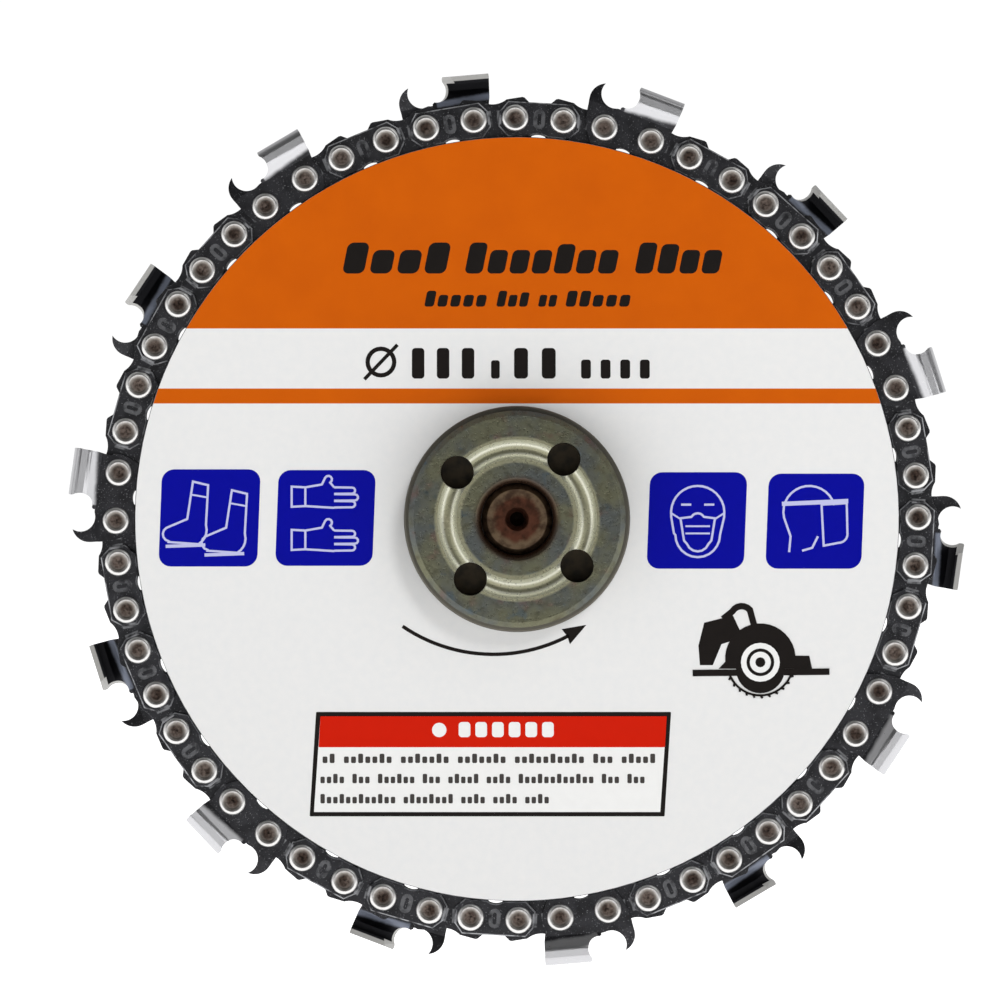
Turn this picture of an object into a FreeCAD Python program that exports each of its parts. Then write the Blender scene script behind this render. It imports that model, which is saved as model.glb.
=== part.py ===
import FreeCAD, Part
import math
import os

# Angle grinder carving disc. A ring of saw chain rides in the groove between two steel plates, and a
# flange nut clamps the plates against the grinder's inner flange on the end of a threaded spindle.
# Units are millimetres. +Y runs back along the spindle, away from the label, +Z is up, and the origin
# is on the spindle's axis, where its collar meets the bearing seat.

V = FreeCAD.Vector
ORIGIN = V(0, 0, 0)
SPIN = V(0, 1, 0)

# ---- Driving dimensions
TIP_RADIUS = 62.5  # to the cutters' leading corners, on a 125 mm disc
STRAP_COUNT = 28  # strap stations round the ring, with one drive link between neighbours
STRAP_PITCH = 6.70  # between the two rivets of a strap or a cutter
DRIVE_PITCH = 5.80  # between the two rivets of a drive link
FIRST_STRAP_DEG = 3.2  # clockwise from the top, seen from the label

DRIVE_T = 1.30  # the chain's gauge
LINK_T = 0.95  # tie straps and cutters
LINK_PLAY = 0.05  # between a drive link and the straps beside it
HEAD_RISE = 0.42  # a chain rivet's head above its strap
HEAD_R = 1.88
HEAD_CREST_R = 1.42
DISH_R = 0.95  # the punched hollow in the middle of a head
DISH_DEPTH = 0.20
SHANK_R = 1.15
HUB_R = 1.60  # the rivet's thick middle, which the drive link turns on
HUB_PLAY = 0.05
EDGE = 0.16  # broken edges of the stamped links

PLATE_R = 53.10
PLATE_T = 1.50
GROOVE_W = 1.50  # between the plates, for the drive links' tangs
GROOVE_FLOOR_R = 48.50
BORE_R = 11.10
LABEL_T = 0.15
PLATE_RIVETS = 6
PLATE_RIVET_CIRCLE_R = 33.0
PLATE_RIVET_R = 2.0
PLATE_EDGE = 0.15
COUNTERSINK = 1.1  # extra radius of the plate rivets' heads under the label
DOME_R = 3.4  # their heads on the back
DOME_H = 0.9
LABEL_MARGIN = 0.1
RING_PLAY = 0.02
RING_INSET = 0.2

FLANGE_R = 15.0
FLANGE_T = 5.50
PILOT_R = 7.97
RING_BORE_R = 8.00
COLLAR_R = 7.0
COLLAR_T = 2.0
SEAT_R = 6.0
SEAT_L = 12.0
THREAD_R = 4.90
FLAT_HALF_W = 4.0
WASHER_R = 15.7
WASHER_T = 1.0
NUT_R = 15.0
NUT_T = 5.60
NUT_BORE_R = 5.0
NUT_HOLE_R = 2.3
NUT_HOLE_CIRCLE_R = 10.5
NUT_HOLE_PHASE_DEG = 38.0
NUT_CHAMFER = 0.7
GROOVE_IN_R = 8.4  # the ring groove in the nut's face
GROOVE_OUT_R = 11.0
GROOVE_DEEP = 1.1
BOSS_DROP = 0.15  # the boss inside the groove, below the nut's outer face
THREAD_CHAMFER = 0.75
DRILL_MOUTH_R = 1.65  # the centre holes in the spindle's ends
DRILL_R = 1.0
END_INSET = 1.5  # the spindle's end, below the nut's face
SEAT_END = 0.7
FLANGE_LIP = 2.6
FLANGE_HUB_R = 9.6
SMALL_GAP = 0.05

# ---- Worked out from them
STATION_DEG = 360.0 / STRAP_COUNT
HALF_STATION = math.radians(STATION_DEG / 2)
RIVET_CIRCLE_R = math.sqrt(
    STRAP_PITCH**2 + DRIVE_PITCH**2 + 2 * STRAP_PITCH * DRIVE_PITCH * math.cos(HALF_STATION)
) / (2 * math.sin(HALF_STATION))
STRAP_H = math.sqrt(RIVET_CIRCLE_R**2 - STRAP_PITCH**2 / 4)  # a strap's rivet line above the disc's centre
DRIVE_H = math.sqrt(RIVET_CIRCLE_R**2 - DRIVE_PITCH**2 / 4)
TIP_Z = TIP_RADIUS - STRAP_H  # a cutter's leading corner above its rivet line
LINK_IN = DRIVE_T / 2 + LINK_PLAY  # inner face of the straps, from the chain's middle plane
LINK_OUT = LINK_IN + LINK_T
STACK_HALF = GROOVE_W / 2 + PLATE_T  # the chain's middle plane to a plate's outer face
MID_Y = -(COLLAR_T + FLANGE_T + STACK_HALF)  # the chain's middle plane in the part's frame
LABEL_Y = MID_Y - STACK_HALF - LABEL_T
WASHER_Y = LABEL_Y - SMALL_GAP - WASHER_T
NUT_Y = WASHER_Y - NUT_T
FLATS_FROM = MID_Y - STACK_HALF + 0.6  # the front end of the spindle's flats and of the pilot on them


# ---- Small tools
def side_view(x, z):
    return V(x, 0, z)


def outline(steps, to_space=side_view):
    """Closed wire. A step (x, z) is a straight edge to that point, (mx, mz, x, z) an arc through m."""
    edges = []
    here = to_space(*steps[-1][-2:])
    for step in steps:
        there = to_space(*step[-2:])
        if len(step) == 2:
            edges.append(Part.makeLine(here, there))
        else:
            edges.append(Part.Arc(here, to_space(*step[:2]), there).toShape())
        here = there
    return Part.Wire(edges)


def prism(steps, low, high):
    """The outline of these steps, filled between two planes of constant y."""
    face = Part.Face(outline(steps))
    face.translate(V(0, low, 0))
    return face.extrude(V(0, high - low, 0))


def drum(radius, low, high, x=0, z=0):
    """A cylinder along Y."""
    return Part.makeCylinder(radius, high - low, V(x, low, z), SPIN)


def turned(steps):
    """A solid of revolution about the spindle from an outline of (radius, y) steps."""
    face = Part.Face(outline(steps, lambda radius, y: V(radius, y, 0)))
    return face.revolve(ORIGIN, SPIN, 360)


def clockwise(shape, degrees):
    """A copy turned about the spindle, clockwise as the label is read."""
    copy = shape.copy()
    copy.rotate(ORIGIN, SPIN, degrees)
    return copy


def backwards(steps):
    """The same steps walked from their last point to their first."""
    walked = [steps[-1][-2:]]
    for here, there in zip(steps[::-1], steps[-2::-1]):
        walked.append((*here[:-2], *there[-2:]))
    return walked


def with_mirror(steps, signs):
    """Half of a symmetric outline, followed by its mirror image. signs is (-1, 1) or (1, -1)."""
    mirror = []
    for step in backwards(steps):
        mirror.append(tuple(value * signs[place % 2] for place, value in enumerate(step)))
    return [*steps, *mirror]


def broken_edges(shape, faces_at, size):
    """Chamfers the rims of the flat faces that lie in the planes y = faces_at."""
    rims = {}
    for face in shape.Faces:
        box = face.BoundBox
        if box.YLength < 1e-6 and any(abs(box.YMin - y) < 1e-6 for y in faces_at):
            for edge in face.OuterWire.Edges:
                rims[edge.hashCode()] = edge
    return shape.makeChamfer(size, list(rims.values()))


def one_solid(shape):
    """The single solid in a shape, with seams between flush faces removed."""
    solids = shape.removeSplitter().Solids
    if len(solids) != 1:
        raise ValueError(f"expected one solid and found {len(solids)}")
    return solids[0]


def export(name, shapes, shift=0.0):
    """Writes the solids as one STEP file, moved along Y."""
    whole = shapes[0].copy() if len(shapes) == 1 else Part.makeCompound([s.copy() for s in shapes])
    whole.translate(V(0, shift, 0))
    for solid in whole.Solids:
        if not solid.isValid() or solid.Volume <= 0:
            raise ValueError(f"{name} has a bad solid")
    whole.exportStep(f"parts/{name}.step")
    print(f"{name}: {len(whole.Solids)} solid(s), {whole.Volume:.2f} mm3")


# ---- Chain links, each drawn at the top of the ring, with x along the chain and z from its rivet line
WIDE = 8.0  # past everything on a link, across the chain or along it
STRAP_TOP = 2.32
STRAP_SIDE = [(4.45, STRAP_TOP), (5.62, 0.80), (5.62, -1.25), (3.70, -3.10)]
ARCH_R = 2.10  # hollow under the middle of every strap
ARCH_TOP = -2.05
RIM_GAP = 0.10  # between the straps' feet and the plates' rims
OVAL_W = 1.60
OVAL_H = 2.70
OVAL_LINE = 0.50
OVAL_DEPTH = 0.12

DRIVE_SIDE = [
    (1.85, 2.72),
    (4.05, 2.94),
    (4.36, 2.84),
    (5.10, 1.99),
    (5.42, 0.00, 5.28, -2.00),
    (4.85, -3.00),
    (2.20, -5.75),
    (1.60, -6.25, 0.90, -6.45),
]
DRIVE_WAIST = 2.12


def rivet_holes(pitch, radius):
    """Two drills through a link, at its rivets."""
    return [drum(radius, -WIDE, WIDE, x=x) for x in (-pitch / 2, pitch / 2)]


def seat_on_rim(link):
    """Cuts a link's feet to ride the plates' rims, with the hollow between them."""
    rim = drum(PLATE_R + RIM_GAP, -WIDE, WIDE, z=-STRAP_H)
    arch = drum(ARCH_R, -WIDE, WIDE, z=ARCH_TOP - ARCH_R)
    return link.cut([rim, arch])


def oval(width, height, low, high):
    """An upright oval disc, centred on the rivet line."""
    half = width / 2
    straight = (height - width) / 2
    return prism([(half, straight), (0, height / 2, -half, straight),
                  (-half, -straight), (0, -height / 2, half, -straight)], low, high)


def tie_strap(side):
    """A plain strap, on the label's side (-1) or the back (+1), with a stamped oval."""
    low, high = sorted((side * LINK_IN, side * LINK_OUT))
    body = seat_on_rim(prism(with_mirror(STRAP_SIDE, (-1, 1)), low, high))
    body = broken_edges(body, [side * LINK_OUT], EDGE)
    stamp_low, stamp_high = sorted((side * (LINK_OUT - OVAL_DEPTH), side * (LINK_OUT + 1)))
    stamp = oval(OVAL_W, OVAL_H, stamp_low, stamp_high)
    stamp = stamp.cut(oval(OVAL_W - 2 * OVAL_LINE, OVAL_H - 2 * OVAL_LINE, stamp_low, stamp_high))
    return one_solid(body.cut([stamp, *rivet_holes(STRAP_PITCH, SHANK_R)]))


def drive_link():
    """A link with two shoulders above its rivets and a tang below that runs in the groove."""
    steps = with_mirror(DRIVE_SIDE, (-1, 1))
    steps[0] = (0, DRIVE_WAIST, *steps[0])
    body = prism(steps, -DRIVE_T / 2, DRIVE_T / 2)
    return one_solid(body.cut(rivet_holes(DRIVE_PITCH, HUB_R + HUB_PLAY)))


BASE_TOP = 1.3  # where the flat foot of a cutter runs into its bent side plate
GAUGE_BEND = 3.05
BASE_STEPS = [
    (-1.0, BASE_TOP),
    (-1.0, GAUGE_BEND),
    (-6.42, GAUGE_BEND),
    (-5.97, 0.0, -4.17, -3.2),
    (4.17, -3.2),
    (5.50, -1.30, 5.95, 0.42),
    (5.74, 0.90, 5.74, BASE_TOP),
]
GAUGE_ROOT = 0.4  # how far the leaning plate reaches down into the foot
GAUGE_STEPS = [
    (-2.5, GAUGE_BEND - GAUGE_ROOT),
    (-2.5, 7.0),
    (-5.0, 5.95),
    (-6.08, 5.10, -6.52, 3.85),
    (-6.50, 3.30, -6.42, GAUGE_BEND - GAUGE_ROOT),
]
GAUGE_LEAN = 0.75  # how far the depth gauge's tip leans over the chain
BODY_FRONT = -1.9
BODY_BACK = 6.6
BODY_STEPS = [
    (BODY_FRONT, 0.4),
    (BODY_FRONT, 8.0),
    (6.50, 8.0),
    (6.46, 5.70),
    (6.10, 3.00),
    (5.74, BASE_TOP + 0.3),
    (5.60, 0.4),
]
GULLET = (-3.06, 5.00, 2.08)  # x, z and radius of the stamped gullet
FILED = (-1.60, 5.14, 1.74)  # x, z and radius of the round file's path
FILED_FACE = [(0.13, 5.30), (-0.28, 6.88), (-0.55, 8.0)]  # the cutting face above it
FILING_DEG = 20.0
FLARE = 0.85  # how far the side plate stands out from the foot
FLARE_START = 2.95
FLARE_H = 1.70
FLARE_BEND_R = 0.75
CROWN_BEND_R = 0.62  # where the side plate turns over into the top plate
TOP_REACH = 1.40  # the top plate's free edge, past the chain's middle plane
TOP_DROP = 0.25
RELIEF_SLOPE = math.tan(math.radians(4.8))
FILE_L = 20.0


def bent_sheet(spine, thickness):
    """Outline steps of a sheet seen end on. spine holds (s, z, bend radius) at its middle line's corners."""
    points = [V(s, z, 0) for s, z, _ in spine]
    sides = ([], [])
    for index, (point, corner) in enumerate(zip(points, spine)):
        before = (point - points[max(index - 1, 0)]).normalize() if index else None
        after = (points[index + 1] - point).normalize() if index < len(points) - 1 else None
        for offset, side in zip((thickness / 2, -thickness / 2), sides):
            if before is None or after is None:
                along = after or before
                side.append((point.x - along.y * offset, point.y + along.x * offset))
                continue
            turn = math.atan2(before.cross(after).z, before.dot(after))
            bend_r = math.copysign(corner[2], turn)
            start = point - before * (corner[2] * math.tan(abs(turn) / 2))
            centre = start + V(-before.y, before.x, 0) * bend_r
            spokes = [V(along.y, -along.x, 0) for along in (before, (before + after).normalize(), after)]
            first, middle, last = (centre + spoke * (bend_r - offset) for spoke in spokes)
            side.append((first.x, first.y))
            side.append((middle.x, middle.y, last.x, last.y))
    left, right = sides
    return [*left, *backwards(right)]


def body_section(side):
    """Section across a cutter at BODY_FRONT: foot, flared side plate, crown and top plate."""
    rise = -RELIEF_SLOPE * BODY_FRONT
    middle = (LINK_IN + LINK_OUT) / 2
    top = TIP_Z + rise - LINK_T / 2
    spine = [
        (middle, 0.3, 0),
        (middle, FLARE_START + rise, FLARE_BEND_R),
        (middle + FLARE, FLARE_START + FLARE_H + rise, FLARE_BEND_R),
        (middle + FLARE, top, CROWN_BEND_R),
        (-TOP_REACH, top - TOP_DROP, 0),
    ]
    return outline(bent_sheet(spine, LINK_T), lambda s, z: V(BODY_FRONT, side * s, z))


def cutter(side):
    """A cutter link: flat foot, depth gauge leaning over the chain, and the bent cutting plate."""
    low, high = sorted((side * LINK_IN, side * LINK_OUT))
    gullet = drum(GULLET[2], -WIDE, WIDE, x=GULLET[0], z=GULLET[1])
    slope = math.radians(FILING_DEG)
    along_file = V(-math.sin(slope), side * math.cos(slope), 0) * FILE_L
    start = V(0, side * (LINK_OUT + FLARE), 0) - along_file / 2
    filed = Part.makeCylinder(FILED[2], FILE_L, start + V(FILED[0], 0, FILED[1]), along_file)
    ahead = Part.Face(outline([*FILED_FACE, (-WIDE, FILED_FACE[-1][1]), (-WIDE, FILED_FACE[0][1])]))
    ahead.translate(start)
    ahead = ahead.extrude(along_file)
    foot = prism(BASE_STEPS, low, high)
    lean = [
        (LINK_IN, GAUGE_BEND - GAUGE_ROOT),
        (LINK_IN, GAUGE_BEND),
        (LINK_IN - GAUGE_LEAN, TIP_Z),
        (LINK_OUT - GAUGE_LEAN, TIP_Z),
        (LINK_OUT, GAUGE_BEND),
        (LINK_OUT, GAUGE_BEND - GAUGE_ROOT),
    ]
    gauge = Part.Face(outline(lean, lambda s, z: V(-WIDE, side * s, z))).extrude(V(WIDE, 0, 0))
    gauge = gauge.common(prism(GAUGE_STEPS, -WIDE, WIDE))
    length = BODY_BACK - BODY_FRONT
    plate = Part.Face(body_section(side)).extrude(V(length, 0, -RELIEF_SLOPE * length))
    plate = plate.common(prism(BODY_STEPS, -WIDE, WIDE)).cut(ahead)
    whole = foot.fuse([gauge, plate]).cut([gullet, filed])
    whole = seat_on_rim(whole).cut(rivet_holes(STRAP_PITCH, SHANK_R))
    return one_solid(whole)


def chain_rivet():
    """A peened rivet on the Y axis: thick hub in the drive link, two dished heads outside the straps."""
    rim = LINK_OUT + HEAD_RISE
    half = [
        (0, rim - DISH_DEPTH),
        (DISH_R, rim - DISH_DEPTH + 0.03),
        (1.21, rim - 0.06, HEAD_CREST_R, rim),
        (1.72, rim - 0.11, HEAD_R, rim - 0.34),
        (HEAD_R, LINK_OUT),
        (SHANK_R, LINK_OUT),
        (SHANK_R, LINK_IN),
        (HUB_R, LINK_IN),
    ]
    return turned(with_mirror(half, (1, -1)))


def station_deg(number):
    return FIRST_STRAP_DEG + number * STATION_DEG


def build_chain():
    """All links and rivets of the ring, at their stations."""
    front_strap, back_strap = tie_strap(-1), tie_strap(1)
    front_cutter, back_cutter = cutter(-1), cutter(1)
    drive, rivet = drive_link(), chain_rivet()
    for link in (front_strap, back_strap, front_cutter, back_cutter):
        link.translate(V(0, 0, STRAP_H))
    drive.translate(V(0, 0, DRIVE_H))
    groups = {"front_tie_straps": [], "back_tie_straps": [],
              "front_cutter_straps": [], "back_cutter_straps": []}
    rivets = []
    strap_half_deg = math.degrees(math.asin(STRAP_PITCH / 2 / RIVET_CIRCLE_R))
    for number in range(STRAP_COUNT):
        angle = station_deg(number)
        kind = number % 4
        tooth = number // 4 + 1
        if kind == 1:
            export(f"front_cutter_{tooth}", [clockwise(front_cutter, angle)], MID_Y)
            groups["back_cutter_straps"].append(clockwise(back_strap, angle))
        elif kind == 3:
            export(f"back_cutter_{tooth}", [clockwise(back_cutter, angle)], MID_Y)
            groups["front_cutter_straps"].append(clockwise(front_strap, angle))
        else:
            groups["front_tie_straps"].append(clockwise(front_strap, angle))
            groups["back_tie_straps"].append(clockwise(back_strap, angle))
        export(f"drive_link_{number + 1:02d}", [clockwise(drive, angle + STATION_DEG / 2)], MID_Y)
        for turn in (angle - strap_half_deg, angle + strap_half_deg):
            at_top = rivet.copy()
            at_top.translate(V(0, 0, RIVET_CIRCLE_R))
            rivets.append(clockwise(at_top, turn))
    for name, straps in groups.items():
        export(name, straps, MID_Y)
    export("chain_rivets", rivets, MID_Y)


# ---- Plates and what holds them
def around_disc(shape, count, circle_r):
    """Copies of a shape on the Y axis, evenly spaced on a circle."""
    copies = []
    for number in range(count):
        copy = shape.copy()
        copy.translate(V(0, 0, circle_r))
        copies.append(clockwise(copy, number * 360.0 / count))
    return copies


def plate(low, high):
    """An annular plate with holes for the plate rivets."""
    body = drum(PLATE_R, low, high).cut(drum(BORE_R, low, high))
    return broken_edges(body, [low, high], PLATE_EDGE)


def plate_rivet():
    """Countersunk in the front plate, with a domed head on the back one."""
    ball_r = (DOME_R**2 + DOME_H**2) / (2 * DOME_H)
    half = math.asin(DOME_R / ball_r) / 2
    top = STACK_HALF + DOME_H
    return turned([
        (0, -STACK_HALF),
        (PLATE_RIVET_R + COUNTERSINK, -STACK_HALF),
        (PLATE_RIVET_R, -STACK_HALF + COUNTERSINK),
        (PLATE_RIVET_R, STACK_HALF),
        (DOME_R, STACK_HALF),
        (ball_r * math.sin(half), top - ball_r * (1 - math.cos(half)), 0, top),
    ])


def build_plates():
    near, far = GROOVE_W / 2, STACK_HALF
    rivets = around_disc(plate_rivet(), PLATE_RIVETS, PLATE_RIVET_CIRCLE_R)
    front = plate(-far, -near).cut(rivets)
    back = plate(near, far).cut(rivets)
    spacer = drum(GROOVE_FLOOR_R, -near, near).cut([drum(BORE_R, -near, near), *rivets])
    export("front_plate", [one_solid(front)], MID_Y)
    export("back_plate", [one_solid(back)], MID_Y)
    export("spacer_plate", [one_solid(spacer)], MID_Y)
    export("plate_rivets", rivets, MID_Y)
    film = (-far - LABEL_T, -far)
    label = drum(PLATE_R - LABEL_MARGIN, *film).cut(drum(BORE_R + 4 * LABEL_MARGIN, *film))
    export("front_label", [label], MID_Y)
    span = (RING_INSET - far, far - RING_INSET)
    ring = drum(BORE_R - RING_PLAY, *span).cut(drum(RING_BORE_R, *span))
    export("reducer_ring", [ring], MID_Y)


# ---- Spindle, flange, washer and nut, drawn in the part's own frame
def centre_drill(mouth_y, inward):
    """A countersunk centre hole in the end of a shaft. inward is +1 or -1 along Y."""
    return turned([
        (0, mouth_y - inward),
        (DRILL_MOUTH_R + 0.58, mouth_y - inward),
        (DRILL_MOUTH_R, mouth_y),
        (DRILL_R, mouth_y + inward * 1.1),
        (DRILL_R, mouth_y + inward * 3.2),
        (0, mouth_y + inward * 3.8),
    ])


def cheeks(half_w, low, high):
    """The space outside two flats, half_w either side of the spindle's axis."""
    far = COLLAR_R + 1
    return [Part.makeBox(far - half_w, high - low, 2 * far, V(x, low, -far)) for x in (half_w, -far)]


def spindle():
    """Threaded end, a length with two flats, a collar, and the bearing seat behind it."""
    front = NUT_Y + END_INSET
    back = SEAT_L + SEAT_END
    body = turned([
        (0, front),
        (THREAD_R - THREAD_CHAMFER, front),
        (THREAD_R, front + THREAD_CHAMFER),
        (THREAD_R, -COLLAR_T),
        (COLLAR_R, -COLLAR_T),
        (COLLAR_R, 0),
        (SEAT_R, 0),
        (SEAT_R, SEAT_L),
        (SEAT_R - SEAT_END, back),
        (0, back),
    ])
    flats = cheeks(FLAT_HALF_W, FLATS_FROM, -COLLAR_T)
    return one_solid(body.cut([*flats, centre_drill(front, 1), centre_drill(back, -1)]))


def inner_flange():
    """The grinder's backing flange: a pilot into the disc's bore, keyed to the spindle's flats."""
    face = -COLLAR_T - FLANGE_T  # where the back plate rests
    bore_r = THREAD_R + SMALL_GAP
    body = turned([
        (bore_r, FLATS_FROM),
        (PILOT_R - 0.4, FLATS_FROM),
        (PILOT_R, FLATS_FROM + 0.4),
        (PILOT_R, face + 0.5),
        (BORE_R + 0.4, face + 0.5),
        (BORE_R + 0.4, face),
        (FLANGE_R - 0.3, face),
        (FLANGE_R, face + 0.3),
        (FLANGE_R, face + FLANGE_LIP),
        (FLANGE_R - 0.5, face + FLANGE_LIP + 0.5),
        (FLANGE_HUB_R + 1.4, face + FLANGE_LIP + 0.5),
        (FLANGE_HUB_R + 0.4, face + FLANGE_LIP + 0.9, FLANGE_HUB_R, face + FLANGE_LIP + 1.8),
        (FLANGE_HUB_R, -COLLAR_T - 0.4),
        (FLANGE_HUB_R - 0.4, -COLLAR_T),
        (bore_r, -COLLAR_T),
    ])
    core = drum(bore_r + SMALL_GAP, FLATS_FROM, -COLLAR_T)
    keys = core.common(Part.makeCompound(cheeks(FLAT_HALF_W + SMALL_GAP, FLATS_FROM, -COLLAR_T)))
    return one_solid(body.fuse(keys.Solids))


def flange_nut():
    """Round lock nut: four spanner holes through a ring groove between its boss and its outer face."""
    middle = (GROOVE_IN_R + GROOVE_OUT_R) / 2
    body = turned([
        (NUT_BORE_R, NUT_Y + BOSS_DROP + THREAD_CHAMFER),
        (NUT_BORE_R + THREAD_CHAMFER, NUT_Y + BOSS_DROP),
        (GROOVE_IN_R, NUT_Y + BOSS_DROP),
        (middle, NUT_Y + GROOVE_DEEP, GROOVE_OUT_R, NUT_Y),
        (NUT_R - NUT_CHAMFER, NUT_Y),
        (NUT_R, NUT_Y + NUT_CHAMFER),
        (NUT_R, NUT_Y + NUT_T - 0.3),
        (NUT_R - 0.3, NUT_Y + NUT_T),
        (NUT_BORE_R, NUT_Y + NUT_T),
    ])
    hole = drum(NUT_HOLE_R, NUT_Y - 1, NUT_Y + NUT_T + 1, z=NUT_HOLE_CIRCLE_R)
    holes = [clockwise(hole, NUT_HOLE_PHASE_DEG + 90 * quarter) for quarter in range(4)]
    return one_solid(body.cut(holes))


def build_centre():
    export("spindle", [spindle()])
    export("inner_flange", [inner_flange()])
    export("flange_nut", [flange_nut()])
    washer = drum(WASHER_R, WASHER_Y, WASHER_Y + WASHER_T).cut(
        drum(NUT_BORE_R + 0.3, WASHER_Y, WASHER_Y + WASHER_T))
    export("clamp_washer", [broken_edges(washer, [WASHER_Y], 0.2)])


os.makedirs("parts", exist_ok=True)
print(f"rivet circle radius {RIVET_CIRCLE_R:.3f}, strap line {STRAP_H:.3f}, tip rise {TIP_Z:.3f}")
build_chain()
build_plates()
build_centre()
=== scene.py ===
import math

import bmesh
import bpy
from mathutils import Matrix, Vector


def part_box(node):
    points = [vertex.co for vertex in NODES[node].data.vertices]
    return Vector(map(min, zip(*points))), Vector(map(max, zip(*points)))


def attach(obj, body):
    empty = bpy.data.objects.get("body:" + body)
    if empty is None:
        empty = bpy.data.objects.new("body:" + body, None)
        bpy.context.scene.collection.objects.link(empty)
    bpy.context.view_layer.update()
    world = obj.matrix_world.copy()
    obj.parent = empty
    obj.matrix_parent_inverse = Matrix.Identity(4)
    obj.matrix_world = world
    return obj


# Looks for the angle grinder carving disc. Metres, in the CAD's frame: the spindle runs along +Y, the
# label faces -Y and +Z is up. A length in millimetres is multiplied by MM.

MM = 0.001

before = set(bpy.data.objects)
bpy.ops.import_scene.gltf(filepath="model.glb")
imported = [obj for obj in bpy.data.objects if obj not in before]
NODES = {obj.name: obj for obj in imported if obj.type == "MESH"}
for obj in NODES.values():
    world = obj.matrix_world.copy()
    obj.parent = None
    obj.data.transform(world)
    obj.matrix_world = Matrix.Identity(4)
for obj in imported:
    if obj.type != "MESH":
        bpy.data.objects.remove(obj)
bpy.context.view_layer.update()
LABEL_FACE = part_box("front_label")[0][1]  # y of the label's printed side

# The chain's stations and links, as the CAD spaces them.
STATION_DEG = 360 / 28
CUTTER_STEP_DEG = 2 * STATION_DEG
FIRST_STRAP_DEG = 3.2
FIRST_CUTTER_DEG = FIRST_STRAP_DEG + STATION_DEG
RIVET_RING_R = 55.73 * MM
HALF_PITCH = 3.35 * MM
RIVET_DEG = math.degrees(math.asin(HALF_PITCH / RIVET_RING_R))  # each side of a strap's middle
STRAP_LINE_R = 55.63 * MM  # a strap's rivet line from the disc's centre
STRAP_END = 5.62 * MM  # a strap's end from its middle


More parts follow.
